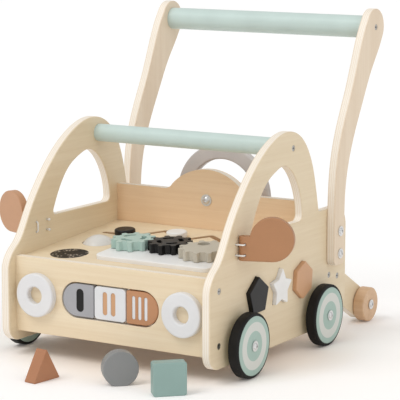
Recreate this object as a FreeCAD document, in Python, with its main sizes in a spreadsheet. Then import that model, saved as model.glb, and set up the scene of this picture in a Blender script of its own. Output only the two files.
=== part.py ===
"""Wooden baby walker shaped like a small car, with a push handle and a play deck.

Frame: +X is the walker's right as seen from the front, -Y is the front with the headlights,
+Z is up. Lengths along Y are counted from the middle between the axles, and at the end every
sub-part moves forward so that the origin is on the floor under the middle of the whole. Millimetres.
"""
import FreeCAD
import Part
import math
import os
import Sketcher

Vector = FreeCAD.Vector
X_AXIS = Vector(1, 0, 0)
Y_AXIS = Vector(0, 1, 0)
Z_AXIS = Vector(0, 0, 1)
SIDES = {"right": 1, "left": -1}

os.makedirs("parts", exist_ok=True)
doc = FreeCAD.newDocument("baby_walker")

# ---------------------------------------------------------------- driving dimensions
DIMENSIONS = {
    # how far the middle of the overall length lies behind the middle between the axles
    "origin_back": 7.34,
    # boards of the body
    "board": 12.0,
    "inner_half_width": 145.5,
    "body_bottom": 19.0,
    "edge_round": 1.5,
    # front board and its grille
    "front_face_y": -156.3,
    "front_bottom": 32.8,
    "front_height": 98.9,
    "grille_height": 83.5,
    "grille_half_height": 23.4,
    "grille_half_length": 73.6,
    # number tiles that flip on a rod
    "tile_thickness": 10.0,
    "tile_half_height": 21.4,
    "tile_width": 47.4,
    "tile_gap": 1.2,
    "tile_round": 1.2,
    "rod_radius": 2.5,
    "rod_length": 172.0,
    "mark_length": 30.0,
    "mark_recess": 1.4,
    "mark_thickness": 0.9,
    # headlight rings
    "lamp_offset": 110.8,
    "lamp_height": 84.0,
    "lamp_radius": 28.6,
    "lamp_hole_radius": 11.0,
    "lamp_thickness": 9.0,
    # play deck, which rises a little towards the back
    "deck_tilt": 3.74,
    "deck_front_z": 128.95,
    "deck_length": 224.6,
    "deck_thickness": 9.0,
    # back board with its hump
    "back_face_y": 80.5,
    "back_bottom": 46.0,
    "back_top": 194.9,
    "hump_rise": 30.6,
    "hump_half_width": 61.0,
    # steering wheel
    "steering_height": 183.7,
    "steering_y": 121.0,
    "steering_radius": 72.2,
    "steering_rim": 21.0,
    "steering_hub_radius": 17.0,
    "steering_spoke": 18.0,
    "steering_bolt_radius": 4.0,
    "steering_spacer_radius": 10.0,
    # bars
    "hood_bar_radius": 12.0,
    "hood_bar_y": 36.0,
    "hood_bar_z": 271.5,
    "handle_radius": 15.3,
    "handle_y": 246.5,
    "handle_z": 414.5,
    "arm_end_radius": 25.3,
    # wheels
    "axle_y": 101.0,
    "wheel_radius": 41.4,
    "hub_radius": 37.6,
    "wheel_width": 15.1,
    "wheel_gap": 7.0,
    "bolt_radius": 3.0,
    "running_gap": 0.05,
    "face_gap": 0.3,
    # anti-tip struts and rollers
    "roller_y": 258.8,
    "roller_z": 24.7,
    "roller_radius": 23.9,
    "roller_width": 16.0,
    "strut_half_width": 21.0,
    "strut_length": 128.0,
    "strut_angle": 29.5,
    # gears on their white plate
    "plate_thickness": 6.0,
    "gear_module": 5.4,
    "gear_thickness": 12.0,
    "gear_addendum": 2.5,
    "gear_dedendum": 3.4,
    "post_radius": 4.0,
    "post_height": 8.5,
    # rattle window, roller ball and track knobs
    "window_radius": 25.2,
    "window_thickness": 1.6,
    "cup_depth": 13.0,
    "cup_wall": 1.8,
    "ball_radius": 27.0,
    "ball_drop": 17.0,
    "ball_gap": 0.8,
    "track_width": 9.4,
    "track_depth": 5.0,
    "knob_radius": 14.2,
    "knob_thickness": 8.0,
    "knob_stem_radius": 4.3,
    # side mirrors and their elastic
    "mirror_radius": 27.7,
    "mirror_reach": 36.0,
    "mirror_z": 176.0,
    "mirror_y": -102.0,
    "mirror_tab_drop": 27.7,
    "mirror_tab_rise": 3.0,
    "mirror_thickness": 11.4,
    "mirror_sweep": 20.0,
    "elastic_radius": 1.0,
    "elastic_hole_radius": 1.6,
    # sorting blocks
    "block_thickness": 17.4,
    "block_proud": 5.8,
    "block_play": 0.6,
    "block_row_z": 95.0,
    "block_pitch": 60.0,
    "block_round": 1.5,
    "pentagon_radius": 25.4,
    "star_radius": 26.4,
    "hexagon_radius": 24.8,
    "triangle_side": 47.0,
    "disc_radius": 22.4,
    "square_side": 41.5,
}

sheet = doc.addObject("Spreadsheet::Sheet", "Sizes")
for row, (alias, number) in enumerate(DIMENSIONS.items(), start=1):
    sheet.set("A%d" % row, alias)
    sheet.set("B%d" % row, str(number))
    sheet.setAlias("B%d" % row, alias)
doc.recompute()


def size(alias):
    """Value of a driving dimension."""
    return float(sheet.get(alias))


def bound(*terms):
    """Expression that adds sheet cells and numbers."""
    return " + ".join("Sizes.%s" % term if isinstance(term, str) else str(term) for term in terms)


BOARD = size("board")
INNER = size("inner_half_width")
OUTER = INNER + BOARD
AXLE_Z = size("wheel_radius")
MIRROR_CORD_Z = (size("mirror_z") - 7.0, size("mirror_z") - 20.5)
MIRROR_HINGE_X = OUTER + size("mirror_thickness") / 2 + size("face_gap") + 0.3
ELASTIC_FRONT_Y = size("mirror_y") - 8.5
ELASTIC_REAR_Y = size("mirror_y") + 15.0
CORD_REACH = 2.6
ARM_BOLTS = ((148.2, 147.1), (148.2, 116.4))
STRUT_SCREWS = ((139.6, 87.2), (163.8, 82.0))
FRONT_SCREWS = ((-150.3, 117.0), (-150.3, 48.4))
SCREW_HEAD_RADIUS = 4.0
SCREW_HEAD_HEIGHT = 3.0
SCREW_HOLE_RADIUS = 4.15
SCREW_SHANK_RADIUS = 2.0
SCREW_LENGTH = 34.0
STRUT_SCREW_LENGTH = 20.0
DISC_FOOT_HEIGHT = 20.9

nodes = {}


def node(label, item):
    """Registers a finished sub-part under the name of its file."""
    item.Label = label
    nodes[label] = item
    return item


# ---------------------------------------------------------------- sketch helpers
def polar(radius, degrees, centre=(0.0, 0.0)):
    """Point at a distance and an angle from a centre."""
    angle = math.radians(degrees)
    return (centre[0] + radius * math.cos(angle), centre[1] + radius * math.sin(angle))


def flat(point):
    return Vector(point[0], point[1], 0)


def rounded(corners, radius):
    """Curves of a closed polygon whose corners are rounded; a corner may carry its own radius."""
    curves = []
    count = len(corners)
    ends = []
    for index, corner in enumerate(corners):
        here = flat(corner)
        bend = corner[2] if len(corner) > 2 else radius
        back = (flat(corners[index - 1]) - here).normalize()
        ahead = (flat(corners[(index + 1) % count]) - here).normalize()
        half = back.getAngle(ahead) / 2
        reach = bend / math.tan(half)
        first = here + back * reach
        last = here + ahead * reach
        ends.append((first, last))
        if bend > 0:
            middle_way = (back + ahead).normalize()
            centre = here + middle_way * (bend / math.sin(half))
            curves.append(Part.Arc(first, centre - middle_way * bend, last))
    for index in range(count):
        start = ends[index][1]
        stop = ends[(index + 1) % count][0]
        if (stop - start).Length > 0.01:
            curves.append(Part.LineSegment(start, stop))
    return curves


def regular(sides, radius, centre=(0.0, 0.0), turn=90.0):
    return [polar(radius, turn + 360.0 * index / sides, centre) for index in range(sides)]


def star(radius, centre=(0.0, 0.0), turn=90.0):
    tips = []
    for index in range(10):
        reach = radius if index % 2 == 0 else radius * 0.56
        tips.append(polar(reach, turn + 36.0 * index, centre))
    return tips


def rectangle(low_x, low_y, high_x, high_y):
    return [(low_x, low_y), (high_x, low_y), (high_x, high_y), (low_x, high_y)]


def stadium(centre, half_length, half_width, upright=False):
    """Rounded slot: corners and their radius."""
    wide, tall = (half_width, half_length) if upright else (half_length, half_width)
    corners = rectangle(centre[0] - wide, centre[1] - tall, centre[0] + wide, centre[1] + tall)
    return rounded(corners, half_width - 0.01)


def bean(centre, radius, half_width, turn, half_span):
    """Kidney opening that follows a circle."""
    curves = []
    for reach in (radius - half_width, radius + half_width):
        trio = [flat(polar(reach, turn + swing, centre)) for swing in (-half_span, 0.0, half_span)]
        curves.append(Part.Arc(*trio))
    for side in (-1, 1):
        inner = flat(polar(radius - half_width, turn + side * half_span, centre))
        outer = flat(polar(radius + half_width, turn + side * half_span, centre))
        bulge = math.degrees(half_width / radius)
        crown = flat(polar(radius, turn + side * (half_span + bulge), centre))
        curves.append(Part.Arc(inner, crown, outer))
    return curves


def spline(points):
    curve = Part.BSplineCurve()
    curve.interpolate([flat(point) for point in points])
    return curve


def new_sketch(body, name, plane, curves, circles=()):
    """Sketch on one of the body's own origin planes. Circles are (centre, radius) or (centre, cell)."""
    sketch = body.newObject("Sketcher::SketchObject", name)
    support = [item for item in body.Origin.OriginFeatures if item.Role == plane + "_Plane"][0]
    sketch.AttachmentSupport = (support, [""])
    sketch.MapMode = "FlatFace"
    for curve in curves:
        sketch.addGeometry(curve, False)
    for centre, radius in circles:
        number = size(radius) if isinstance(radius, str) else radius
        index = sketch.addGeometry(Part.Circle(flat(centre), Vector(0, 0, 1), number), False)
        rule = sketch.addConstraint(Sketcher.Constraint("Radius", index, number))
        if isinstance(radius, str):
            sketch.setExpression("Constraints[%d]" % rule, bound(radius))
    return sketch


def new_body(label, is_node=True):
    body = doc.addObject("PartDesign::Body", label)
    return node(label, body) if is_node else body


def pad(body, sketch, length, middle=False):
    feature = body.newObject("PartDesign::Pad", sketch.Name + "_pad")
    feature.Profile = sketch
    feature.setExpression("Length", length)
    feature.Midplane = middle
    return feature


def pocket(body, sketch, depth, middle=False, reverse=False):
    """Cut that must remove material."""
    doc.recompute()
    before = body.Shape.Volume
    feature = body.newObject("PartDesign::Pocket", sketch.Name + "_pocket")
    feature.Profile = sketch
    feature.setExpression("Length", depth)
    feature.Midplane = middle
    feature.Reversed = reverse
    doc.recompute()
    if body.Shape.Volume > before - 0.1:
        raise RuntimeError("%s cuts nothing" % sketch.Name)
    return feature


def soften(body, radius, choose):
    """Fillet on the edges of the body's tip that choose() accepts."""
    doc.recompute()
    tip = body.Tip
    picked = []
    for index, edge in enumerate(tip.Shape.Edges, start=1):
        if choose(edge):
            picked.append("Edge%d" % index)
    feature = body.newObject("PartDesign::Fillet", body.Name + "_fillet")
    feature.Base = (tip, picked)
    feature.setExpression("Radius", radius)
    doc.recompute()
    return feature


def on_face(axis, levels, longest=8.0):
    """Chooses edges that lie in a plane across an axis, leaving small holes sharp."""
    def choose(edge):
        box = edge.BoundBox
        low, high = {"x": (box.XMin, box.XMax), "y": (box.YMin, box.YMax), "z": (box.ZMin, box.ZMax)}[axis]
        level = any(abs(low - value) < 0.01 and abs(high - value) < 0.01 for value in levels)
        return level and (edge.Closed is False or edge.Length > longest)
    return choose


def turned(label, profile, is_node=True):
    """Body turned about its own X axis from a profile of (along, radius, rounding) corners."""
    body = new_body(label, is_node)
    sketch = new_sketch(body, label + "_profile", "XY", rounded(profile, 0.0))
    feature = body.newObject("PartDesign::Revolution", label + "_turned")
    feature.Profile = sketch
    feature.ReferenceAxis = (sketch, ["H_Axis"])
    return body


def place(item, base, axis=Z_AXIS, degrees=0.0):
    item.Placement = FreeCAD.Placement(Vector(*base), FreeCAD.Rotation(axis, degrees))
    return item


# ---------------------------------------------------------------- primitive helpers
def primitive(kind, name, base, axis=Z_AXIS, degrees=0.0, **expressions):
    item = doc.addObject("Part::" + kind, name)
    for cell, expression in expressions.items():
        item.setExpression(cell, expression)
    return place(item, base, axis, degrees)


def group(label, items):
    """Several equal pieces that share one node."""
    compound = doc.addObject("Part::Compound", label)
    compound.Links = items
    return node(label, compound)


def bolt(name, radius, length, head_radius, head_height=2.2, flange=1.2):
    """Domed bolt along +X: the flange sits at 0 and the shank runs back to -length."""
    shank = primitive("Cylinder", name + "_shank", (-length, 0, 0), Y_AXIS, 90.0,
                      Radius=bound(radius), Height=str(length + 0.5))
    washer = primitive("Cylinder", name + "_flange", (0, 0, 0), Y_AXIS, 90.0,
                       Radius=str(head_radius + 2.4), Height=str(flange))
    dome = primitive("Ellipsoid", name + "_dome", (flange, 0, 0), Y_AXIS, 90.0,
                     Radius1=str(head_height), Radius2=str(head_radius), Angle1="0")
    whole = doc.addObject("Part::MultiFuse", name + "_solid")
    whole.Shapes = [shank, washer, dome]
    socket = primitive("Prism", name + "_socket", (flange + head_height - 1.5, 0, 0), Y_AXIS, 90.0,
                       Circumradius="1.9", Height="4")
    socket.Polygon = 6
    cut = doc.addObject("Part::Cut", name)
    cut.Base = whole
    cut.Tool = socket
    return cut


def facing(item, base, side):
    """Puts a piece made along +X so that it points outwards on the right or on the left."""
    turn = 0.0 if side > 0 else 180.0
    return place(item, base, Z_AXIS, turn)


# ---------------------------------------------------------------- side panels
def panel_curves():
    """Car-shaped outline in (y, z): rocker, tail, shoulder, arch, windscreen and bonnet."""
    bottom = size("body_bottom")
    tail, shoulder, bend = 188.0, 178.4, 29.0
    arch_foot = (108.7, shoulder)
    nose_top = (-172.0, 112.0)
    nose_foot = (-172.0, bottom + 22.0)
    crown = spline([
        nose_top, (-167.5, 129.0), (-157.5, 140.5), (-147.0, 149.0), (-138.0, 160.5),
        (-122.0, 187.0), (-95.0, 223.0), (-61.0, 257.0), (-20.0, 283.5), (24.0, 294.3),
        (56.0, 285.5), (80.0, 262.0), (97.0, 224.0), arch_foot,
    ])
    quarter = bend * math.sqrt(0.5)
    return [
        crown,
        Part.LineSegment(flat(arch_foot), Vector(tail - bend, shoulder, 0)),
        Part.Arc(Vector(tail - bend, shoulder, 0),
                 Vector(tail - bend + quarter, shoulder - bend + quarter, 0),
                 Vector(tail, shoulder - bend, 0)),
        Part.LineSegment(Vector(tail, shoulder - bend, 0), Vector(tail, bottom + bend, 0)),
        Part.Arc(Vector(tail, bottom + bend, 0),
                 Vector(tail - bend + quarter, bottom + bend - quarter, 0),
                 Vector(tail - bend, bottom, 0)),
        Part.LineSegment(Vector(tail - bend, bottom, 0), Vector(-150.0, bottom, 0)),
        Part.Arc(Vector(-150.0, bottom, 0), Vector(-165.6, bottom + 6.4, 0), flat(nose_foot)),
        Part.LineSegment(flat(nose_foot), flat(nose_top)),
    ]


def window_curves():
    """Side window: a flat sill and an arch that leans back to its apex."""
    sill = 173.0
    front, rear = (-64.0, sill), (54.0, sill)
    return [
        Part.LineSegment(flat(front), flat(rear)),
        Part.Arc(flat(rear), Vector(61.0, sill + 3.2, 0), Vector(62.5, sill + 10.5, 0)),
        spline([(62.5, sill + 10.5), (57.5, 206.0), (46.5, 227.0), (31.0, 243.5), (14.0, 251.0),
                (-7.0, 247.0), (-33.0, 234.0), (-54.0, 211.0), (-70.0, sill + 9.0)]),
        Part.Arc(Vector(-70.0, sill + 9.0, 0), Vector(-70.3, sill + 2.5, 0), flat(front)),
    ]


def block_outline(shape, play, centre=(0.0, 0.0)):
    """Outline of a sorting block, or of its hole when play is added."""
    bend = size("block_round")
    if shape == "pentagon":
        return rounded(regular(5, size("pentagon_radius") + play, centre, 91.0), bend)
    if shape == "star":
        return rounded(star(size("star_radius") + play * 1.6, centre, 87.0), bend)
    if shape == "hexagon":
        return rounded(regular(6, size("hexagon_radius") + play, centre, 84.0), bend)
    if shape == "triangle":
        return rounded(regular(3, size("triangle_side") / math.sqrt(3) + play * 2, centre), bend)
    half = size("square_side") / 2 + play
    box = rectangle(centre[0] - half, centre[1] - half, centre[0] + half, centre[1] + half)
    return rounded(box, bend + 1.5)


def side_panel(name, side, shapes):
    """Board with rounded edges, then the block holes, bores and screw holes."""
    label = "side_panel_" + name
    body = new_body(label)
    outline = new_sketch(body, label + "_outline", "YZ", panel_curves() + window_curves())
    pad(body, outline, bound("board"))
    soften(body, bound("edge_round"), on_face("x", (0.0, BOARD), 60.0))
    curves = []
    circles = []
    play = size("block_play")
    for place_index, shape in enumerate(shapes):
        centre = ((place_index - 1) * size("block_pitch"), size("block_row_z"))
        if shape == "disc":
            circles.append((centre, size("disc_radius") + play))
        else:
            curves += block_outline(shape, play, centre)
    for axle in (-size("axle_y"), size("axle_y")):
        circles.append(((axle, AXLE_Z), "bolt_radius"))
    for spot in ARM_BOLTS:
        circles.append((spot, "bolt_radius"))
    circles.append(((size("hood_bar_y"), size("hood_bar_z")), SCREW_HOLE_RADIUS))
    for spot in STRUT_SCREWS + FRONT_SCREWS:
        circles.append((spot, SCREW_HOLE_RADIUS))
    for height in MIRROR_CORD_Z:
        for along in (ELASTIC_FRONT_Y, ELASTIC_REAR_Y):
            circles.append(((along, height), "elastic_hole_radius"))
    holes = new_sketch(body, label + "_holes", "YZ", curves, circles)
    pocket(body, holes, bound("board"), reverse=True)
    place(body, (INNER if side > 0 else -OUTER, 0, 0))


side_panel("right", 1, ("pentagon", "star", "hexagon"))
side_panel("left", -1, ("triangle", "disc", "square"))


# ---------------------------------------------------------------- front board, lamps and tiles
def front_panel():
    body = new_body("front_panel")
    low = size("front_bottom")
    outline = rounded(rectangle(-INNER, low, INNER, low + size("front_height")), 0.0)
    grille = stadium((0, size("grille_height")), size("grille_half_length"), size("grille_half_height"))
    sketch = new_sketch(body, "front_outline", "XZ", outline + grille)
    pad(body, sketch, bound("board"))
    rod_hole = ((-BOARD / 2, size("grille_height")), "rod_radius")
    bore = new_sketch(body, "front_rod_bore", "YZ", [], [rod_hole])
    pocket(body, bore, bound("rod_length"), middle=True)
    soften(body, "1.0", lambda edge: edge.Length > 40.0 and edge.BoundBox.YMax < -BOARD + 0.01
           and edge.BoundBox.XMax - edge.BoundBox.XMin > 40.0)
    place(body, (0, size("front_face_y") + BOARD, 0))


front_panel()

for name, side in SIDES.items():
    thickness = size("lamp_thickness")
    ring = turned("headlight_ring_" + name, [
        (0, size("lamp_hole_radius")), (thickness, size("lamp_hole_radius"), 2.4),
        (thickness, size("lamp_radius"), 2.4), (0, size("lamp_radius")),
    ])
    place(ring, (side * size("lamp_offset"), size("front_face_y"), size("lamp_height")), Z_AXIS, -90.0)


def tile_outline(index):
    """Outline in (x, z) about the rod: the two end tiles are D-shaped."""
    half = size("tile_width") / 2
    tall = size("tile_half_height")
    if index == 1:
        return rounded(rectangle(-half, -tall, half, tall), 5.5)
    outer = -1 if index == 0 else 1
    corners = [(-outer * half, -tall, 2.5), (outer * half, -tall, tall - 0.05),
               (outer * half, tall, tall - 0.05), (-outer * half, tall, 2.5)]
    return rounded(corners, 0.0)


def number_tile(label, index, marks, width, spacing, shift):
    """Tile on the rod with bar-shaped marks let into its face."""
    half_thick = size("tile_thickness") / 2
    offset = (index - 1) * (size("tile_width") + size("tile_gap"))
    slots = []
    for mark in range(marks):
        spot = (shift + (mark - (marks - 1) / 2) * spacing, 0.0)
        slots += stadium(spot, size("mark_length") / 2, width / 2, upright=True)
    centre_y = size("front_face_y") + BOARD / 2

    tile = new_body(label)
    outline = new_sketch(tile, label + "_outline", "XZ", tile_outline(index))
    pad(tile, outline, bound("tile_thickness"), middle=True)
    soften(tile, bound("tile_round"), on_face("y", (-half_thick, half_thick)))
    bore = new_sketch(tile, label + "_bore", "YZ", [],
                      [((0, 0), size("rod_radius") + size("running_gap"))])
    pocket(tile, bore, bound("tile_width", 4), middle=True)
    cut = new_sketch(tile, label + "_slots", "XZ", slots)
    cut.AttachmentOffset = FreeCAD.Placement(Vector(0, 0, half_thick), FreeCAD.Rotation())
    pocket(tile, cut, bound("mark_recess"))
    place(tile, (offset, centre_y, size("grille_height")))

    marking = new_body(label + "_marks")
    marking.AllowCompound = True
    shape = new_sketch(marking, label + "_mark_outline", "XZ", slots)
    pad(marking, shape, bound("mark_thickness"))
    sunk = half_thick - size("mark_recess")
    place(marking, (offset, centre_y - sunk, size("grille_height")))


number_tile("tile_one", 0, 1, 11.2, 0.0, 3.0)
number_tile("tile_two", 1, 2, 6.8, 12.4, -1.2)
number_tile("tile_three", 2, 3, 4.8, 9.1, -3.6)

rod = primitive("Cylinder", "tile_rod_solid",
                (-size("rod_length") / 2, size("front_face_y") + BOARD / 2, size("grille_height")),
                Y_AXIS, 90.0, Radius=bound("rod_radius"), Height=bound("rod_length"))
node("tile_rod", rod)


# ---------------------------------------------------------------- play deck
DECK_TILT = size("deck_tilt")
DECK_FRONT_Y = size("front_face_y") + BOARD
DECK = FreeCAD.Placement(
    Vector(0, DECK_FRONT_Y, size("deck_front_z")), FreeCAD.Rotation(X_AXIS, DECK_TILT))
RATTLE = (-95.5, 37.5)
BALL = (-94.5, 104.0)
TRACK = ((-118.0, 155.0), (-70.0, 155.0), (-46.0, 195.0), (2.0, 160.0), (26.0, 195.0), (74.0, 160.0),
         (118.0, 160.0))
BLACK_KNOB = (-86.0, 155.0)
WHITE_KNOB = (-14.0, 171.67)


def on_deck(item, across, along, height=0.0, degrees=0.0):
    """Puts a piece on the deck: across is x, along runs up the deck from its front edge."""
    local = FreeCAD.Placement(Vector(across, along, height), FreeCAD.Rotation(Z_AXIS, degrees))
    item.Placement = DECK.multiply(local)
    return item


def track_tools():
    """Cutters of the wavy track: one bar for each run and one round for each turn."""
    tools = []
    half = size("track_width") / 2
    depth = size("track_depth")
    for index, spot in enumerate(TRACK):
        tools.append(primitive("Cylinder", "track_turn_%d" % index, (spot[0], spot[1], -depth),
                               Radius="Sizes.track_width / 2", Height=bound("track_depth", 1)))
        if index:
            before = TRACK[index - 1]
            run = math.hypot(spot[0] - before[0], spot[1] - before[1])
            course = math.degrees(math.atan2(spot[1] - before[1], spot[0] - before[0]))
            corner = polar(half, course - 90.0, before)
            tools.append(primitive("Box", "track_run_%d" % index, (corner[0], corner[1], -depth),
                                   Z_AXIS, course, Length=str(run), Width=bound("track_width"),
                                   Height=bound("track_depth", 1)))
    return tools


def deck_board():
    thick = size("deck_thickness")
    board = primitive("Box", "deck_blank", (-INNER, 0, -thick), Length="Sizes.inner_half_width * 2",
                      Width=bound("deck_length"), Height=bound("deck_thickness"))
    window = primitive("Cylinder", "deck_window_hole", (RATTLE[0], RATTLE[1], -thick - 1),
                       Radius=bound("window_radius"), Height=bound("deck_thickness", 2))
    seat = primitive("Sphere", "deck_ball_seat", (BALL[0], BALL[1], -size("ball_drop")),
                     Radius=bound("ball_radius", "ball_gap"))
    cutter = doc.addObject("Part::MultiFuse", "deck_cutters")
    cutter.Shapes = [window, seat] + track_tools()
    cut = doc.addObject("Part::Cut", "deck_cut")
    cut.Base = board
    cut.Tool = cutter
    on_deck(node("deck_board", cut), 0, 0)


deck_board()

cup_radius = size("window_radius")
cup_depth = size("cup_depth")
cup_wall = size("cup_wall")
lid = size("window_thickness")
cup = turned("rattle_cup", [
    (-cup_depth, 0), (-cup_depth, cup_radius, 1.0), (-lid, cup_radius), (-lid, cup_radius - cup_wall),
    (-cup_depth + cup_wall, cup_radius - cup_wall), (-cup_depth + cup_wall, 0),
])
cup.Placement = DECK.multiply(FreeCAD.Placement(Vector(RATTLE[0], RATTLE[1], 0),
                                                FreeCAD.Rotation(Y_AXIS, -90.0)))
pane = primitive("Cylinder", "rattle_pane", (0, 0, 0), Radius=bound("window_radius"),
                 Height=bound("window_thickness"))
on_deck(node("rattle_window", pane), RATTLE[0], RATTLE[1], -lid)


def roller_ball():
    """Ball that shows as a low dome, and the cup that carries it under the deck."""
    drop = size("ball_drop")
    thick = size("deck_thickness")
    ball = primitive("Sphere", "roller_ball_solid", (0, 0, 0), Radius=bound("ball_radius"))
    on_deck(node("roller_ball", ball), BALL[0], BALL[1], -drop)
    depth = drop + size("ball_radius") + 3.0 - thick
    shell = primitive("Cylinder", "ball_cup_blank", (0, 0, -thick - depth),
                      Radius=bound("ball_radius", 3), Height=str(depth))
    hollow = primitive("Sphere", "ball_cup_hollow", (0, 0, -drop), Radius=bound("ball_radius", "ball_gap"))
    cut = doc.addObject("Part::Cut", "ball_cup_cut")
    cut.Base = shell
    cut.Tool = hollow
    on_deck(node("ball_cup", cut), BALL[0], BALL[1])


roller_ball()


def track_knob(label, spot):
    """Round knob whose stem rides in the track."""
    radius = size("knob_radius")
    top = size("knob_thickness") + size("face_gap")
    low = size("face_gap")
    stem = size("knob_stem_radius")
    foot = 0.6 - size("track_depth")
    knob = turned(label, [
        (foot, 0), (foot, stem), (low, stem), (low, radius, 1.2), (top, radius, 2.4), (top, 0)])
    knob.Placement = DECK.multiply(FreeCAD.Placement(Vector(spot[0], spot[1], 0),
                                                     FreeCAD.Rotation(Y_AXIS, -90.0)))


track_knob("track_knob_black", BLACK_KNOB)
track_knob("track_knob_white", WHITE_KNOB)


# ---------------------------------------------------------------- gears
GEAR_PLATE = (-50.0, 25.0, 125.0, 120.0)
MINT_TEETH, BLACK_TEETH, GREY_TEETH = 10, 10, 12
PITCH = size("gear_module") / 2
MINT_SPOT = (-24.0, 81.5)
BLACK_SPOT = polar(PITCH * (MINT_TEETH + BLACK_TEETH), 5.0, MINT_SPOT)
GREY_SPOT = polar(PITCH * (BLACK_TEETH + GREY_TEETH), -9.0, BLACK_SPOT)


def gear_outline(teeth, turn):
    """Rounded block teeth: tips narrower than the gaps, so that the train runs freely."""
    tip = PITCH * teeth + size("gear_addendum")
    root = PITCH * teeth - size("gear_dedendum")
    step = 360.0 / teeth
    flank = ((root, -0.27, 1.6), (tip, -0.155, 1.5), (tip, 0.155, 1.5), (root, 0.27, 1.6))
    corners = []
    for tooth in range(teeth):
        middle = turn + tooth * step
        for reach, swing, bend in flank:
            corners.append(polar(reach, middle + swing * step) + (bend,))
    return rounded(corners, 0.0)


def gear(label, teeth, spot, turn, openings, finger_hole=None):
    body = new_body(label)
    curves = gear_outline(teeth, turn)
    for index in range(openings):
        span = 74.0 / openings
        curves += bean((0, 0), 14.5, 3.1, turn + 18.0 + 360.0 * index / openings, span)
    circles = [finger_hole] if finger_hole else []
    sketch = new_sketch(body, label + "_outline", "XY", curves, circles)
    pad(body, sketch, bound("gear_thickness"))
    bore_radius = size("post_radius") + size("running_gap")
    bore = new_sketch(body, label + "_bore", "XY", [], [((0, 0), bore_radius)])
    pocket(body, bore, bound("post_height", 0.6), reverse=True)
    on_deck(body, spot[0], spot[1], size("plate_thickness") + 0.5)


def heading(start, stop):
    return math.degrees(math.atan2(stop[1] - start[1], stop[0] - start[0]))


mint_turn = heading(MINT_SPOT, BLACK_SPOT)
black_turn = heading(BLACK_SPOT, MINT_SPOT) + 180.0 / BLACK_TEETH
black_to_grey = heading(BLACK_SPOT, GREY_SPOT)
lag = (black_to_grey - black_turn) % (360.0 / BLACK_TEETH)
grey_turn = black_to_grey + 180.0 + 180.0 / GREY_TEETH + lag * BLACK_TEETH / GREY_TEETH
gear("gear_mint", MINT_TEETH, MINT_SPOT, mint_turn, 3)
gear("gear_black", BLACK_TEETH, BLACK_SPOT, black_turn, 4)
gear("gear_grey", GREY_TEETH, GREY_SPOT, grey_turn, 0, (polar(16.5, 128.0), 8.2))

plate = new_body("gear_plate")
plate_sketch = new_sketch(plate, "gear_plate_outline", "XY", rounded(rectangle(*GEAR_PLATE), 12.0))
pad(plate, plate_sketch, bound("plate_thickness"))
soften(plate, "1.5", on_face("z", (size("plate_thickness"),)))
on_deck(plate, 0, 0)

posts = []
for index, spot in enumerate((MINT_SPOT, BLACK_SPOT, GREY_SPOT)):
    post = primitive("Cylinder", "gear_post_%d" % index, (0, 0, 0), Radius=bound("post_radius"),
                     Height=bound("post_height", 0.5))
    posts.append(on_deck(post, spot[0], spot[1], size("plate_thickness")))
group("gear_posts", posts)


# ---------------------------------------------------------------- back board and steering wheel
def back_panel():
    """Board behind the deck whose top edge rises in a round hump."""
    rise = size("hump_rise")
    half = size("hump_half_width")
    top = size("back_top")
    low = size("back_bottom")
    blend = 5.0
    outline = [
        Part.LineSegment(Vector(-half - blend, top, 0), Vector(-INNER, top, 0)),
        Part.LineSegment(Vector(-INNER, top, 0), Vector(-INNER, low, 0)),
        Part.LineSegment(Vector(-INNER, low, 0), Vector(INNER, low, 0)),
        Part.LineSegment(Vector(INNER, low, 0), Vector(INNER, top, 0)),
        Part.LineSegment(Vector(INNER, top, 0), Vector(half + blend, top, 0)),
        Part.Arc(Vector(half + blend, top, 0), Vector(half - 1.0, top + 2.0, 0),
                 Vector(half - 6.0, top + 7.0, 0)),
        Part.Arc(Vector(half - 6.0, top + 7.0, 0), Vector(0, top + rise, 0),
                 Vector(6.0 - half, top + 7.0, 0)),
        Part.Arc(Vector(6.0 - half, top + 7.0, 0), Vector(1.0 - half, top + 2.0, 0),
                 Vector(-half - blend, top, 0)),
    ]
    body = new_body("back_panel")
    bolt_hole = ((0, size("steering_height")), "steering_bolt_radius")
    sketch = new_sketch(body, "back_outline", "XZ", outline, [bolt_hole])
    pad(body, sketch, bound("board"))
    place(body, (0, size("back_face_y") + BOARD, 0))


back_panel()


def steering_wheel():
    """Rim with a hub and three spokes: left, right and down."""
    radius = size("steering_radius")
    inner = radius - size("steering_rim")
    bore = size("steering_bolt_radius") + size("running_gap")
    hub_radius = size("steering_hub_radius")
    rim = turned("steering_rim_ring", [
        (0, inner, 2.5), (BOARD, inner, 2.5), (BOARD, radius, 2.5), (0, radius, 2.5),
    ], is_node=False)
    hub = turned("steering_hub", [
        (0, bore), (BOARD, bore), (BOARD, hub_radius, 2.0), (0, hub_radius, 2.0),
    ], is_node=False)
    pieces = [rim, hub]
    spoke = size("steering_spoke")
    for turn in (0.0, 180.0, 270.0):
        name = "steering_spoke_%d" % turn
        bar = primitive("Box", name, (1.0, -spoke / 2, bore + 3.0),
                        Length=bound("board", -2), Width=bound("steering_spoke"),
                        Height=str(radius - 8.0 - bore - 3.0))
        spin = FreeCAD.Placement(Vector(), FreeCAD.Rotation(X_AXIS, 90.0 - turn))
        bar.Placement = spin.multiply(bar.Placement)
        pieces.append(bar)
    wheel = doc.addObject("Part::MultiFuse", "steering_wheel_solid")
    wheel.Shapes = pieces
    place(node("steering_wheel", wheel), (0, size("steering_y"), size("steering_height")), Z_AXIS, 90.0)


steering_wheel()

steering_front = size("back_face_y")
steering_rear = size("steering_y") + BOARD
bolt_reach = steering_rear - steering_front + size("face_gap") + 6.0
steering_bolt = bolt("steering_bolt_solid", "steering_bolt_radius", bolt_reach, 5.6, 3.2)
place(node("steering_bolt", steering_bolt), (0, steering_front, size("steering_height")), Z_AXIS, -90.0)

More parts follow.
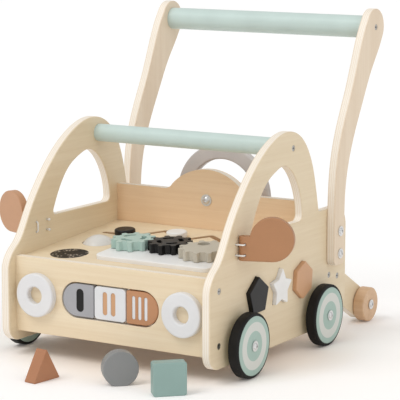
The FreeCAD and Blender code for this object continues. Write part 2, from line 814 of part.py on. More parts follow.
spacer_length = size("steering_y") - size("back_face_y") - BOARD - size("face_gap")
spacer = turned("steering_spacer", [
    (0, size("steering_bolt_radius")), (spacer_length, size("steering_bolt_radius")),
    (spacer_length, size("steering_spacer_radius"), 1.0), (0, size("steering_spacer_radius")),
])
place(spacer, (0, size("back_face_y") + BOARD, size("steering_height")), Z_AXIS, 90.0)


# ---------------------------------------------------------------- bars, arms and struts
hood_bar = primitive("Cylinder", "hood_bar_solid",
                     (-INNER, size("hood_bar_y"), size("hood_bar_z")), Y_AXIS, 90.0,
                     Radius=bound("hood_bar_radius"), Height="Sizes.inner_half_width * 2")
node("hood_bar", hood_bar)
handle_bar = primitive("Cylinder", "handle_bar_solid",
                       (-OUTER, size("handle_y"), size("handle_z")), Y_AXIS, 90.0,
                       Radius=bound("handle_radius"),
                       Height="(Sizes.inner_half_width + Sizes.board) * 2")
node("handle_bar", handle_bar)


def arm_curves():
    """Handle arm in (y, z): straight at the panel, then leaning back to a round end."""
    end_y, end_z = size("handle_y"), size("handle_z")
    radius = size("arm_end_radius")
    lean = 28.0
    front_top = polar(radius, 180.0 - lean, (end_y, end_z))
    rear_top = polar(radius, -lean, (end_y, end_z))
    crest = polar(radius, 90.0 - lean, (end_y, end_z))
    foot_z, heel = 101.0, 8.0
    return [
        spline([(131.5, foot_z + heel), (131.0, 145.0), (132.0, 190.0), (138.5, 245.0), (155.0, 290.0),
                (177.5, 333.0), (196.0, 374.0), (211.0, 406.0), front_top]),
        Part.Arc(flat(front_top), flat(crest), flat(rear_top)),
        spline([rear_top, (258.0, 385.5), (235.0, 355.5), (212.0, 318.0), (188.0, 276.0), (172.0, 240.0),
                (163.0, 205.0), (160.5, 165.0), (161.0, foot_z + heel)]),
        Part.Arc(Vector(161.0, foot_z + heel, 0), Vector(158.6, foot_z + 2.4, 0),
                 Vector(153.0, foot_z, 0)),
        Part.LineSegment(Vector(153.0, foot_z, 0), Vector(139.5, foot_z, 0)),
        Part.Arc(Vector(139.5, foot_z, 0), Vector(133.9, foot_z + 2.4, 0),
                 Vector(131.5, foot_z + heel, 0)),
    ]


for name, side in SIDES.items():
    label = "handle_arm_" + name
    arm = new_body(label)
    holes = [(spot, "bolt_radius") for spot in ARM_BOLTS]
    holes.append(((size("handle_y"), size("handle_z")), SCREW_HOLE_RADIUS))
    pad(arm, new_sketch(arm, label + "_outline", "YZ", arm_curves(), holes), bound("board"))
    soften(arm, bound("edge_round"), on_face("x", (0.0, BOARD), 60.0))
    place(arm, (OUTER if side > 0 else -OUTER - BOARD, 0, 0))


def strut_curves():
    """Bar with two round ends, from the roller up to the panel, in (y, z)."""
    half = size("strut_half_width")
    low = (size("roller_y"), size("roller_z"))
    turn = 180.0 - size("strut_angle")
    high = polar(size("strut_length"), turn, low)
    return [
        Part.Arc(flat(polar(half, turn - 90.0, low)), flat(polar(half, turn + 180.0, low)),
                 flat(polar(half, turn + 90.0, low))),
        Part.LineSegment(flat(polar(half, turn + 90.0, low)), flat(polar(half, turn + 90.0, high))),
        Part.Arc(flat(polar(half, turn + 90.0, high)), flat(polar(half, turn, high)),
                 flat(polar(half, turn - 90.0, high))),
        Part.LineSegment(flat(polar(half, turn - 90.0, high)), flat(polar(half, turn - 90.0, low))),
    ]


for name, side in SIDES.items():
    label = "tip_strut_" + name
    strut = new_body(label)
    holes = [((size("roller_y"), size("roller_z")), "bolt_radius")]
    pad(strut, new_sketch(strut, label + "_outline", "YZ", strut_curves(), holes), bound("board"))
    soften(strut, bound("edge_round"), on_face("x", (0.0, BOARD), 60.0))
    place(strut, (INNER - BOARD if side > 0 else -INNER, 0, 0))

# ---------------------------------------------------------------- wheels and rollers
wheel_face = OUTER + size("wheel_gap") + size("wheel_width")
wheel_back = OUTER + size("wheel_gap")
bore_radius = size("bolt_radius") + size("running_gap")
roller_back = INNER + 0.5
roller_face = roller_back + size("roller_width")
axle_bolts = []
axle_spacers = []
lock_nuts = []


def lock_nut(name, base, side):
    """Hexagon nut on the inside end of a bolt; it starts at base and reaches inwards."""
    blank = primitive("Prism", name + "_blank", (-5.0, 0, 0), Y_AXIS, 90.0,
                      Circumradius="5.6", Height="5")
    blank.Polygon = 6
    hole = primitive("Cylinder", name + "_hole", (-6.0, 0, 0), Y_AXIS, 90.0,
                     Radius=bound("bolt_radius"), Height="7")
    cut = doc.addObject("Part::Cut", name)
    cut.Base = blank
    cut.Tool = hole
    return facing(cut, base, side)


for name, side in SIDES.items():
    for end, along in (("front", -size("axle_y")), ("rear", size("axle_y"))):
        place_name = end + "_" + name
        width = size("wheel_width")
        hub = turned("wheel_hub_" + place_name, [
            (0, bore_radius), (width, bore_radius),
            (width, size("hub_radius"), 0.8), (0, size("hub_radius")),
        ])
        facing(hub, (side * wheel_back, along, AXLE_Z), side)
        tyre = turned("tyre_" + place_name, [
            (0, size("hub_radius")), (width - 0.5, size("hub_radius")),
            (width - 0.5, size("wheel_radius"), 2.6), (0, size("wheel_radius"), 2.6),
        ])
        facing(tyre, (side * wheel_back, along, AXLE_Z), side)
        reach = wheel_face + size("face_gap") - INNER + 5.5
        axle = bolt("axle_bolt_" + place_name, "bolt_radius", reach, 4.4)
        axle_bolts.append(facing(axle, (side * (wheel_face + size("face_gap")), along, AXLE_Z), side))
        lock_nuts.append(lock_nut("axle_nut_" + place_name, (side * INNER, along, AXLE_Z), side))
        sleeve_length = size("wheel_gap") - size("face_gap")
        sleeve = primitive("Cylinder", "sleeve_" + place_name, (0, 0, 0), Y_AXIS, 90.0, Radius="9",
                           Height=str(sleeve_length))
        core = primitive("Cylinder", "sleeve_core_" + place_name, (-1, 0, 0), Y_AXIS, 90.0,
                         Radius=bound("bolt_radius"), Height=str(sleeve_length + 2))
        ring = doc.addObject("Part::Cut", "sleeve_ring_" + place_name)
        ring.Base = sleeve
        ring.Tool = core
        axle_spacers.append(facing(ring, (side * OUTER, along, AXLE_Z), side))
    width = size("roller_width")
    roller = turned("tip_roller_" + name, [
        (0, bore_radius), (width, bore_radius), (width, size("roller_radius"), 2.0),
        (0, size("roller_radius"), 2.0),
    ])
    centre = (size("roller_y"), size("roller_z"))
    facing(roller, (side * roller_back,) + centre, side)
    reach = roller_face + size("face_gap") - INNER + BOARD + 5.5
    pivot = bolt("roller_bolt_" + name, "bolt_radius", reach, 4.4)
    axle_bolts.append(facing(pivot, (side * (roller_face + size("face_gap")),) + centre, side))
    lock_nuts.append(lock_nut("roller_nut_" + name, (side * (INNER - BOARD),) + centre, side))

group("axle_bolts", axle_bolts)
group("axle_spacers", axle_spacers)

# ---------------------------------------------------------------- bolts and screws of the frame
arm_bolts = []
for name, side in SIDES.items():
    for index, spot in enumerate(ARM_BOLTS):
        reach = 2 * BOARD + 5.5
        piece = bolt("arm_bolt_%s_%d" % (name, index), "bolt_radius", reach, 4.4)
        arm_bolts.append(facing(piece, (side * (OUTER + BOARD),) + spot, side))
        lock_nuts.append(lock_nut("arm_nut_%s_%d" % (name, index), (side * INNER,) + spot, side))
group("arm_bolts", arm_bolts)
group("lock_nuts", lock_nuts)


def wood_screw(name, base, side, length):
    """Screw whose head lies just under the face of the board; base is on that face."""
    head = primitive("Cone", name + "_head", (-SCREW_HEAD_HEIGHT - 0.3, 0, 0), Y_AXIS, 90.0,
                     Radius1=str(SCREW_SHANK_RADIUS + 0.6), Radius2=str(SCREW_HEAD_RADIUS),
                     Height=str(SCREW_HEAD_HEIGHT))
    shank = primitive("Cylinder", name + "_shank", (-length, 0, 0), Y_AXIS, 90.0,
                      Radius=str(SCREW_SHANK_RADIUS), Height=str(length - 1.0))
    whole = doc.addObject("Part::MultiFuse", name + "_whole")
    whole.Shapes = [head, shank]
    socket = primitive("Prism", name + "_socket", (-2.0, 0, 0), Y_AXIS, 90.0,
                       Circumradius="1.7", Height="3")
    socket.Polygon = 4
    cut = doc.addObject("Part::Cut", name)
    cut.Base = whole
    cut.Tool = socket
    return facing(cut, base, side)


wood_screws = []
strut_screws = []
for name, side in SIDES.items():
    bar_spot = (side * OUTER, size("hood_bar_y"), size("hood_bar_z"))
    wood_screws.append(wood_screw("hood_bar_screw_" + name, bar_spot, side, SCREW_LENGTH))
    handle_spot = (side * (OUTER + BOARD), size("handle_y"), size("handle_z"))
    wood_screws.append(wood_screw("handle_screw_" + name, handle_spot, side, SCREW_LENGTH))
    for index, spot in enumerate(FRONT_SCREWS):
        base = (side * OUTER,) + spot
        wood_screws.append(wood_screw("front_screw_%s_%d" % (name, index), base, side, SCREW_LENGTH))
    for index, spot in enumerate(STRUT_SCREWS):
        base = (side * OUTER,) + spot
        piece = wood_screw("strut_screw_%s_%d" % (name, index), base, side, STRUT_SCREW_LENGTH)
        strut_screws.append(piece)
group("wood_screws", wood_screws)
group("strut_screws", strut_screws)


# ---------------------------------------------------------------- side mirrors
def mirror_spot(reach, thick, side):
    """Point of a mirror in (x, y): reach runs out from the hinge, thick runs to its front face."""
    sweep = math.radians(size("mirror_sweep"))
    across = MIRROR_HINGE_X + reach * math.cos(sweep) + thick * math.sin(sweep)
    along = size("mirror_y") + reach * math.sin(sweep) - thick * math.cos(sweep)
    return (side * across, along)


def mirror(name, side):
    """Round mirror with a square tab; the tab's edge is round about the hinge line."""
    label = "mirror_" + name
    radius = size("mirror_radius")
    reach = size("mirror_reach")
    rise, drop = size("mirror_tab_rise"), size("mirror_tab_drop")
    thick = size("mirror_thickness")
    body = new_body(label)
    join_top = (reach - math.sqrt(radius ** 2 - rise ** 2), rise)
    join_low = (reach - math.sqrt(radius ** 2 - drop ** 2), -drop)
    edge = -thick / 2
    curves = [
        Part.LineSegment(Vector(edge, rise, 0), flat(join_top)),
        Part.Arc(flat(join_top), Vector(reach + radius, 0, 0), flat(join_low)),
        Part.LineSegment(flat(join_low), Vector(edge, -drop, 0)),
        Part.LineSegment(Vector(edge, -drop, 0), Vector(edge, rise, 0)),
    ]
    holes = [((CORD_REACH, height - size("mirror_z")), "elastic_hole_radius") for height in MIRROR_CORD_Z]
    sketch = new_sketch(body, label + "_outline", "XZ", curves, holes)
    pad(body, sketch, bound("mirror_thickness"), middle=True)
    soften(body, "Sizes.mirror_thickness / 2 - 0.02",
           lambda item: abs(item.BoundBox.XMax - edge) < 0.01 and item.Length > 20.0
           and item.BoundBox.YMax - item.BoundBox.YMin < 0.01)
    soften(body, "1.4", lambda item: item.BoundBox.YMax - item.BoundBox.YMin < 0.01
           and item.Length > 60.0 and item.BoundBox.XMin > -1.0)
    turn = size("mirror_sweep") if side > 0 else 180.0 - size("mirror_sweep")
    place(body, (side * MIRROR_HINGE_X, size("mirror_y"), size("mirror_z")), Z_AXIS, turn)


def elastic(name, side):
    """Elastic cord: knotted inside, out through the panel and the tab, back in, down and out again."""
    upper, lower = MIRROR_CORD_Z
    inside = INNER - 2.6
    behind = mirror_spot(CORD_REACH, -14.0, side)
    ahead = mirror_spot(CORD_REACH, 9.6, side)
    level = [
        ((side * (inside - 1.0), ELASTIC_REAR_Y), 0.0),
        ((behind[0] - side * 0.6, ELASTIC_REAR_Y), 2.6),
        ((ahead[0], ELASTIC_FRONT_Y), 2.4),
        ((side * inside, ELASTIC_FRONT_Y), 2.5),
    ]
    route = [(Vector(spot[0], spot[1], upper), bend) for spot, bend in level]
    route += [(Vector(spot[0], spot[1], lower), bend) for spot, bend in reversed(level)]
    label = "mirror_cord_" + name
    cord = doc.addObject("Part::Feature", label)
    knots = [Part.makeSphere(1.9, route[0][0]), Part.makeSphere(1.9, route[-1][0])]
    cord.Shape = tube(route, size("elastic_radius"), label).multiFuse(knots)
    node(label, cord)


def tube(route, radius, label):
    """Round tube along straight runs joined by tangent arcs."""
    edges = []
    start = route[0][0]
    for index in range(1, len(route) - 1):
        here, bend = route[index]
        back = (route[index - 1][0] - here).normalize()
        ahead = (route[index + 1][0] - here).normalize()
        half = back.getAngle(ahead) / 2
        reach = bend / math.tan(half)
        first = here + back * reach
        last = here + ahead * reach
        crown = here + (back + ahead).normalize() * (bend / math.sin(half) - bend)
        edges.append(Part.LineSegment(start, first).toShape())
        edges.append(Part.Arc(first, crown, last).toShape())
        start = last
    edges.append(Part.LineSegment(start, route[-1][0]).toShape())
    path = Part.Wire(edges)
    way = (route[1][0] - route[0][0]).normalize()
    section = Part.Wire([Part.makeCircle(radius, route[0][0], way)])
    solid = path.makePipeShell([section], True, False)
    expected = math.pi * radius ** 2 * path.Length
    print("%s: length %.1f, volume ratio %.4f, bends %s" % (
        label, path.Length, solid.Volume / expected, [stop[1] for stop in route]))
    return solid


for name, side in SIDES.items():
    mirror(name, side)
    elastic(name, side)


# ---------------------------------------------------------------- sorting blocks
def block(label, shape):
    """Solid block made along +X from its rear face; the disc gets a small flat to stand on."""
    body = new_body(label)
    thick = size("block_thickness")
    radius = size("disc_radius")
    curves = [] if shape == "disc" else block_outline(shape, 0.0)
    circles = [((0, 0), "disc_radius")] if shape == "disc" else []
    sketch = new_sketch(body, label + "_outline", "YZ", curves, circles)
    pad(body, sketch, bound("block_thickness"))
    soften(body, "1.2", on_face("x", (0.0, thick)))
    if shape == "disc":
        below = rectangle(-radius, -radius - 1, radius, -DISC_FOOT_HEIGHT)
        foot = new_sketch(body, label + "_foot", "YZ", rounded(below, 0.0))
        pocket(body, foot, bound("block_thickness"), reverse=True)
    return body


for index, shape in enumerate(("pentagon", "star", "hexagon")):
    rear = OUTER + size("block_proud") - size("block_thickness")
    place(block("block_" + shape, shape), (rear, (index - 1) * size("block_pitch"), size("block_row_z")))

# loose blocks that stand on the floor in front: centre of the front face, height and heading
triangle_height = size("triangle_side") / math.sqrt(3) / 2
LOOSE = (
    ("triangle", (-32.9, -246.0), triangle_height, -8.0),
    ("disc", (59.5, -219.5), DISC_FOOT_HEIGHT, -46.0),
    ("square", (136.0, -228.0), size("square_side") / 2, -46.0),
)
for shape, spot, height, turn in LOOSE:
    piece = block("block_" + shape, shape)
    back = polar(size("block_thickness"), turn + 180.0, spot)
    place(piece, (back[0], back[1], height), Z_AXIS, turn)

# ---------------------------------------------------------------- origin, check and export
for item in nodes.values():
    item.Placement.move(Vector(0, -size("origin_back"), 0))
doc.recompute()
for item in doc.Objects:
    if "Invalid" in item.State or "Error" in item.State:
        raise RuntimeError("%s failed: %s" % (item.Label, item.State))
whole = FreeCAD.BoundBox()
for label, item in nodes.items():
    if item.Shape.isNull() or not item.Shape.isValid():
        raise RuntimeError("%s has no valid shape" % label)
    whole.add(item.Shape.BoundBox)
for label, item in nodes.items():
    item.Shape.exportStep("parts/%s.step" % label)
print("%d nodes, box %s" % (len(nodes), whole))
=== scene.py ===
"""Looks of the wooden baby walker: lacquered plywood, painted beech, rubber tyres and zinc bolts."""
import math

import bmesh
import bpy
from mathutils import Euler, Matrix, Vector

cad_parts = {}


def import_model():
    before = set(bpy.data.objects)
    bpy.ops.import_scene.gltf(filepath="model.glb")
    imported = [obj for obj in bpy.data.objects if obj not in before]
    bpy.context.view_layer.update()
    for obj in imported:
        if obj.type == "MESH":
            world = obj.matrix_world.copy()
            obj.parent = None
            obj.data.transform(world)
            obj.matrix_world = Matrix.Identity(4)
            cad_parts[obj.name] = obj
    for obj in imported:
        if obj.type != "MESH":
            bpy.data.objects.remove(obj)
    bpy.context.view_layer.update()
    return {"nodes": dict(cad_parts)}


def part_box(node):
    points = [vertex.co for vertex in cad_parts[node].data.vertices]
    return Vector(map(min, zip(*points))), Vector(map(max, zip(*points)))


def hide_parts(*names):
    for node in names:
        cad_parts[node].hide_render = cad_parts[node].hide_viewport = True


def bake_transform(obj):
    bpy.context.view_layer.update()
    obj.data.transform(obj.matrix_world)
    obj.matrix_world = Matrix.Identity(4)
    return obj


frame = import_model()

NODES = frame["nodes"]
SCENE = bpy.context.scene
MM = 0.001
COAT_ROUGHNESS = 0.25
FLOOR_HALF = 30.0
CAMERA_PLACE = Vector((1.3286, -2.1307, 0.6100))
CAMERA_AZIMUTH = math.radians(31.28)
CAMERA_ELEVATION = math.radians(9.40)
CAMERA_ROLL = math.radians(0.107)
CAMERA_LENS = 173.04
CAMERA_SENSOR = 36.0

# ---------------------------------------------------------------- places taken from the frame
DECK_TILT = math.radians(3.74)
DECK_UP = Vector((0, -math.sin(DECK_TILT), math.cos(DECK_TILT)))
SIDES = ("right", "left")
ENDS = ("front", "rear")


def middle(node):
    """Centre of a node's box."""
    low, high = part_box(node)
    return (low + high) / 2


# ---------------------------------------------------------------- colours
def colour(red, green, blue):
    """Linear colour from the 0 to 255 values of a paint chart."""
    def linear(value):
        part = value / 255
        return part / 12.92 if part <= 0.04045 else ((part + 0.055) / 1.055) ** 2.4
    return (linear(red), linear(green), linear(blue), 1.0)


PLY_FACE = (colour(231, 215, 186), colour(216, 195, 161))
ARM_FACE = (colour(234, 217, 194), colour(219, 197, 170))
PLY_EDGE = (colour(250, 243, 232), colour(232, 216, 194))
FRONT_FACE = (colour(238, 222, 193), colour(222, 199, 163))
BACK_FACE = (colour(246, 218, 184), colour(226, 190, 149))
# Darker cut-edge tones of the deck: painted shade for the walls and floor of the track groove.
DECK_EDGE_PAINTED_SHADE = (colour(205, 172, 134), colour(172, 134, 96))
BEECH = (colour(220, 186, 150), colour(192, 151, 113))
GLUE = colour(190, 165, 132)
MINT = colour(198, 215, 210)
MINT_GEAR = colour(176, 200, 191)
MINT_DISC = colour(158, 184, 174)
MINT_BLOCK = colour(143, 169, 163)
PALE_RING = colour(206, 208, 202)
BLACK = colour(18, 17, 17)
GREY = colour(168, 168, 172)
GREY_WHEEL = colour(196, 190, 187)
GREY_BLOCK = colour(136, 137, 137)
GREIGE = colour(194, 187, 172)
WHITE = colour(238, 237, 235)
LAMP_WHITE = colour(226, 226, 227)
TILE_WHITE = colour(226, 227, 229)
TERRACOTTA = colour(176, 128, 92)
# Lighter copy of the mirrors' terracotta: painted light on the left mirror, which stands in the stronger
# light.
TERRACOTTA_PAINTED_LIGHT = colour(198, 153, 120)
TILE_TERRACOTTA = colour(192, 140, 102)
DARK_TERRACOTTA = colour(176, 123, 90)
TAN = colour(206, 160, 122)
RUBBER = colour(20, 19, 18)
ZINC = colour(228, 228, 228)
STEEL = colour(186, 184, 180)
RUBBER_DUST = colour(70, 68, 66)
ELASTIC_SHADE = colour(214, 212, 206)
PANE_BLACK = colour(10, 10, 12)
BEAD = colour(226, 210, 190)
BALL_WHITE = colour(216, 214, 210)
FLOOR_FAR = (1.0, 1.0, 1.0, 1.0)
# Warm floor tint near the walker: painted bounce light from the wood.
FLOOR_NEAR_PAINTED_BOUNCE = (1.0, 0.985, 0.975, 1.0)
# Browner floor close under the body: painted shade with the wood's bounce light in it.
FLOOR_UNDER_PAINTED_SHADE = (0.95, 0.81, 0.68, 1.0)


# ---------------------------------------------------------------- node helpers
class Graph:
    """Thin wrapper that adds shader nodes and links them in one call."""

    def __init__(self, name):
        self.material = bpy.data.materials.new(name)
        self.material.use_nodes = True
        self.tree = self.material.node_tree
        self.shader = self.tree.nodes["Principled BSDF"]

    def link(self, socket, value):
        if isinstance(value, bpy.types.NodeSocket):
            self.tree.links.new(value, socket)
        else:
            socket.default_value = value

    def place(self):
        """Position on the object, in metres."""
        return self.tree.nodes.new("ShaderNodeTexCoord").outputs["Object"]

    def vector(self, operation, first, second):
        node = self.tree.nodes.new("ShaderNodeVectorMath")
        node.operation = operation
        self.link(node.inputs[0], first)
        if operation != "LENGTH":
            self.link(node.inputs[1], second)
        return node.outputs["Value" if operation in ("DOT_PRODUCT", "LENGTH") else "Vector"]

    def math(self, operation, first, second=0.0, clamp=False):
        node = self.tree.nodes.new("ShaderNodeMath")
        node.operation = operation
        node.use_clamp = clamp
        self.link(node.inputs[0], first)
        self.link(node.inputs[1], second)
        return node.outputs[0]

    def noise(self, vector, scale, detail=4.0, roughness=0.5, distortion=0.0):
        node = self.tree.nodes.new("ShaderNodeTexNoise")
        self.link(node.inputs["Vector"], vector)
        node.inputs["Scale"].default_value = scale
        node.inputs["Detail"].default_value = detail
        node.inputs["Roughness"].default_value = roughness
        node.inputs["Distortion"].default_value = distortion
        return node.outputs["Fac"]

    def ramp(self, value, stops):
        """Smooth ramp from (position, grey level) stops."""
        node = self.tree.nodes.new("ShaderNodeValToRGB")
        self.link(node.inputs[0], value)
        elements = node.color_ramp.elements
        for element, (position, level) in zip(elements, stops):
            element.position = position
            element.color = (level, level, level, 1)
        for position, level in stops[2:]:
            elements.new(position).color = (level, level, level, 1)
        return node.outputs["Color"]

    def mix(self, factor, first, second, blend="MIX"):
        node = self.tree.nodes.new("ShaderNodeMix")
        node.data_type = "RGBA"
        node.blend_type = blend
        self.link(node.inputs[0], factor)
        self.link(node.inputs[6], first)
        self.link(node.inputs[7], second)
        return node.outputs[2]

    def bump(self, height, strength, distance, edge=0.0):
        """Surface relief, on top of edges softened by the given radius."""
        node = self.tree.nodes.new("ShaderNodeBump")
        self.link(node.inputs["Height"], height)
        node.inputs["Strength"].default_value = strength
        node.inputs["Distance"].default_value = distance
        if edge:
            bevel = self.tree.nodes.new("ShaderNodeBevel")
            bevel.samples = 4
            bevel.inputs["Radius"].default_value = edge
            self.link(node.inputs["Normal"], bevel.outputs["Normal"])
        self.link(self.shader.inputs["Normal"], node.outputs["Normal"])

    def finish(self, base, roughness, coat=0.0, metallic=0.0, specular=0.5):
        self.link(self.shader.inputs["Base Color"], base)
        self.link(self.shader.inputs["Roughness"], roughness)
        self.shader.inputs["Coat Weight"].default_value = coat
        self.shader.inputs["Coat Roughness"].default_value = COAT_ROUGHNESS
        self.shader.inputs["Metallic"].default_value = metallic
        self.shader.inputs["Specular IOR Level"].default_value = specular
        return self.material


def stretched(graph, grain, across, along):
    """Position scaled so that a noise is long along the grain axis."""
    scale = [across] * 3
    scale[grain] = along
    return graph.vector("MULTIPLY", graph.place(), Vector(scale))


def wood_colour(graph, tones, grain, seed):
    """Growth bands, fine fibres and short pores, all drawn out along the grain."""
    light, dark = tones
    drift = Vector((seed * 0.37, seed * 0.91, seed * 0.53))
    wide = graph.vector("ADD", stretched(graph, grain, 22.0, 1.6), drift)
    fibre = graph.vector("ADD", stretched(graph, grain, 260.0, 7.0), drift)
    pore = graph.vector("ADD", stretched(graph, grain, 900.0, 60.0), drift)
    bands = graph.ramp(graph.noise(wide, 1.0, 5.0, 0.55, 0.9), [(0.3, 0.0), (0.72, 1.0)])
    fibres = graph.ramp(graph.noise(fibre, 1.0, 3.0, 0.6), [(0.32, 0.0), (0.68, 1.0)])
    pores = graph.ramp(graph.noise(pore, 1.0, 2.0, 0.5), [(0.6, 0.0), (0.74, 1.0)])
    share = graph.math("ADD", graph.math("MULTIPLY", bands, 0.55), graph.math("MULTIPLY", fibres, 0.3))
    share = graph.math("ADD", share, graph.math("MULTIPLY", pores, 0.22), clamp=True)
    return graph.mix(share, light, dark), share


def wood(name, tones, grain, seed=1.0, roughness=0.46):
    """Solid lacquered wood with its grain along one axis (0 = X, 1 = Y, 2 = Z)."""
    graph = Graph(name)
    base, relief = wood_colour(graph, tones, grain, seed)
    graph.bump(relief, 0.12, 0.0004, edge=0.0007)
    return graph.finish(base, roughness, coat=0.08)


def plywood(node, tones, grain, across, seed=1.0, layers=9, edge=PLY_EDGE):
    """Plywood whose glued layers show wherever an edge or a hole cuts through the board."""
    graph = Graph("ply_" + node)
    heights = [across.dot(vertex.co) for vertex in NODES[node].data.vertices]
    low, high = min(heights), max(heights)
    height = graph.vector("DOT_PRODUCT", graph.place(), across)
    depth = graph.math("MULTIPLY", graph.math("SUBTRACT", height, low), layers / (high - low))
    layer = graph.math("FLOOR", depth)
    odd = graph.math("PINGPONG", layer, 1.0)
    glue_wave = graph.math("ABSOLUTE", graph.math("SUBTRACT", graph.math("FRACT", depth), 0.5))
    glue = graph.ramp(glue_wave, [(0.4, 0.0), (0.5, 0.5)])
    end_noise = graph.noise(stretched(graph, grain, 700.0, 350.0), 1.0, 3.0)
    ends = graph.mix(graph.math("MULTIPLY", odd, 0.6), edge[0], edge[1])
    ends = graph.mix(graph.math("MULTIPLY", end_noise, 0.3), ends, edge[1])
    ends = graph.mix(glue, ends, GLUE)
    face, relief = wood_colour(graph, tones, grain, seed)
    from_middle = graph.math("ABSOLUTE", graph.math("SUBTRACT", depth, layers / 2))
    skin = graph.math("GREATER_THAN", from_middle, layers / 2 - 0.85)
    graph.bump(relief, 0.1, 0.0004, edge=0.0006)
    return graph.finish(graph.mix(skin, ends, face), 0.5, coat=0.06)


def shaded(base, factor):
    """The same colour, lighter or darker."""
    return tuple(min(1.0, part * factor) for part in base[:3]) + (1.0,)


def paint(name, base, roughness=0.42, edge=0.0009, coat=0.04, seed=0.0):
    """Sprayed paint on sanded wood: faint cloudiness, orange peel and softened edges."""
    graph = Graph(name)
    place = graph.vector("ADD", graph.place(), Vector((seed, seed, seed)))
    cloud = graph.noise(place, 26.0, 3.0)
    peel = graph.noise(place, 1400.0, 2.0)
    fibre = graph.noise(stretched(graph, 0, 420.0, 22.0), 1.0, 3.0)
    shade = graph.ramp(cloud, [(0.3, 0.93), (0.7, 1.0)])
    tinted = graph.mix(1.0, base, shade, "MULTIPLY")
    tinted = graph.mix(graph.math("MULTIPLY", fibre, 0.12), tinted, shaded(base, 1.25))
    graph.bump(graph.math("ADD", peel, fibre), 0.1, 0.0002, edge=edge)
    rough = graph.math("ADD", roughness - 0.05, graph.math("MULTIPLY", cloud, 0.1))
    return graph.finish(tinted, rough, coat=coat, specular=0.3)


def ringed_disc(name, centre, bands):
    """Painted wheel disc with printed rings about its axle, which runs along X."""
    graph = Graph(name)
    from_axle = graph.vector("SUBTRACT", graph.place(), centre)
    radius = graph.vector("LENGTH", graph.vector("MULTIPLY", from_axle, Vector((0, 1, 1))), None)
    base = MINT_DISC
    for inner, outer in bands:
        inside = graph.math("GREATER_THAN", radius, inner)
        outside = graph.math("LESS_THAN", radius, outer)
        base = graph.mix(graph.math("MULTIPLY", inside, outside), base, PALE_RING)
    fibre = graph.noise(stretched(graph, 2, 500.0, 30.0), 1.0, 3.0)
    base = graph.mix(graph.math("MULTIPLY", fibre, 0.12), base, WHITE)
    graph.bump(fibre, 0.08, 0.0003, edge=0.0008)
    return graph.finish(base, 0.45, coat=0.05, specular=0.35)


def metal(name, base, roughness=0.32):
    """Plated metal with faint spots."""
    graph = Graph(name)
    spots = graph.noise(graph.place(), 900.0, 3.0)
    shade = graph.ramp(spots, [(0.3, 0.86), (0.7, 1.0)])
    graph.bump(spots, 0.15, 0.0001, edge=0.0004)
    rough = graph.math("ADD", roughness - 0.06, graph.math("MULTIPLY", spots, 0.14))
    return graph.finish(graph.mix(1.0, base, shade, "MULTIPLY"), rough, metallic=1.0)


def rubber(name):
    """Matt black rubber with a little dust."""
    graph = Graph(name)
    grain = graph.noise(graph.place(), 1800.0, 3.0)
    dust = graph.ramp(graph.noise(graph.place(), 30.0, 4.0), [(0.35, 0.0), (0.75, 0.1)])
    graph.bump(grain, 0.25, 0.0003, edge=0.0008)
    return graph.finish(graph.mix(dust, RUBBER, RUBBER_DUST), 0.6, specular=0.22)


def braided(name):
    """White elastic whose jacket shows a fine slanted weave."""
    graph = Graph(name)
    weave = graph.tree.nodes.new("ShaderNodeTexWave")
    weave.inputs["Scale"].default_value = 420.0
    weave.bands_direction = "DIAGONAL"
    graph.link(weave.inputs["Vector"], graph.place())
    graph.bump(weave.outputs["Fac"], 0.5, 0.0003)
    share = graph.math("MULTIPLY", weave.outputs["Fac"], 0.4)
    return graph.finish(graph.mix(share, WHITE, ELASTIC_SHADE), 0.75)


def smoked_window(name):
    """Dark clear pane with the beads of the rattle just visible under it."""
    graph = Graph(name)
    cells = graph.tree.nodes.new("ShaderNodeTexVoronoi")
    cells.inputs["Scale"].default_value = 260.0
    graph.link(cells.inputs["Vector"], graph.place())
    bead = graph.ramp(cells.outputs["Distance"], [(0.2, 1.0), (0.5, 0.0)])
    heap = graph.ramp(graph.noise(graph.place(), 70.0, 2.0), [(0.46, 0.0), (0.54, 1.0)])
    shown = graph.math("MULTIPLY", graph.math("MULTIPLY", bead, heap), 0.8)
    base = graph.mix(shown, PANE_BLACK, BEAD)
    return graph.finish(base, 0.3, specular=0.05)


# ---------------------------------------------------------------- which node wears what
X_WAY, Y_WAY = Vector((1, 0, 0)), Vector((0, 1, 0))
WHEEL_RINGS = ((19.0 * MM, 30.2 * MM),)
ELASTIC_STAYS_TO = 161.0 * MM
ELASTIC_SWINGS_FROM = 164.3 * MM
# The left mirror wears a lighter copy of the same terracotta: painted light, not a different paint.
MIRROR_TONES_PAINTED_LIGHT = {"right": TERRACOTTA, "left": TERRACOTTA_PAINTED_LIGHT}


def dress(node, material):
    """Gives every material slot of a CAD node the same finish."""
    slots = NODES[node].material_slots
    for slot in slots:
        slot.material = material
    if not slots:
        NODES[node].data.materials.append(material)


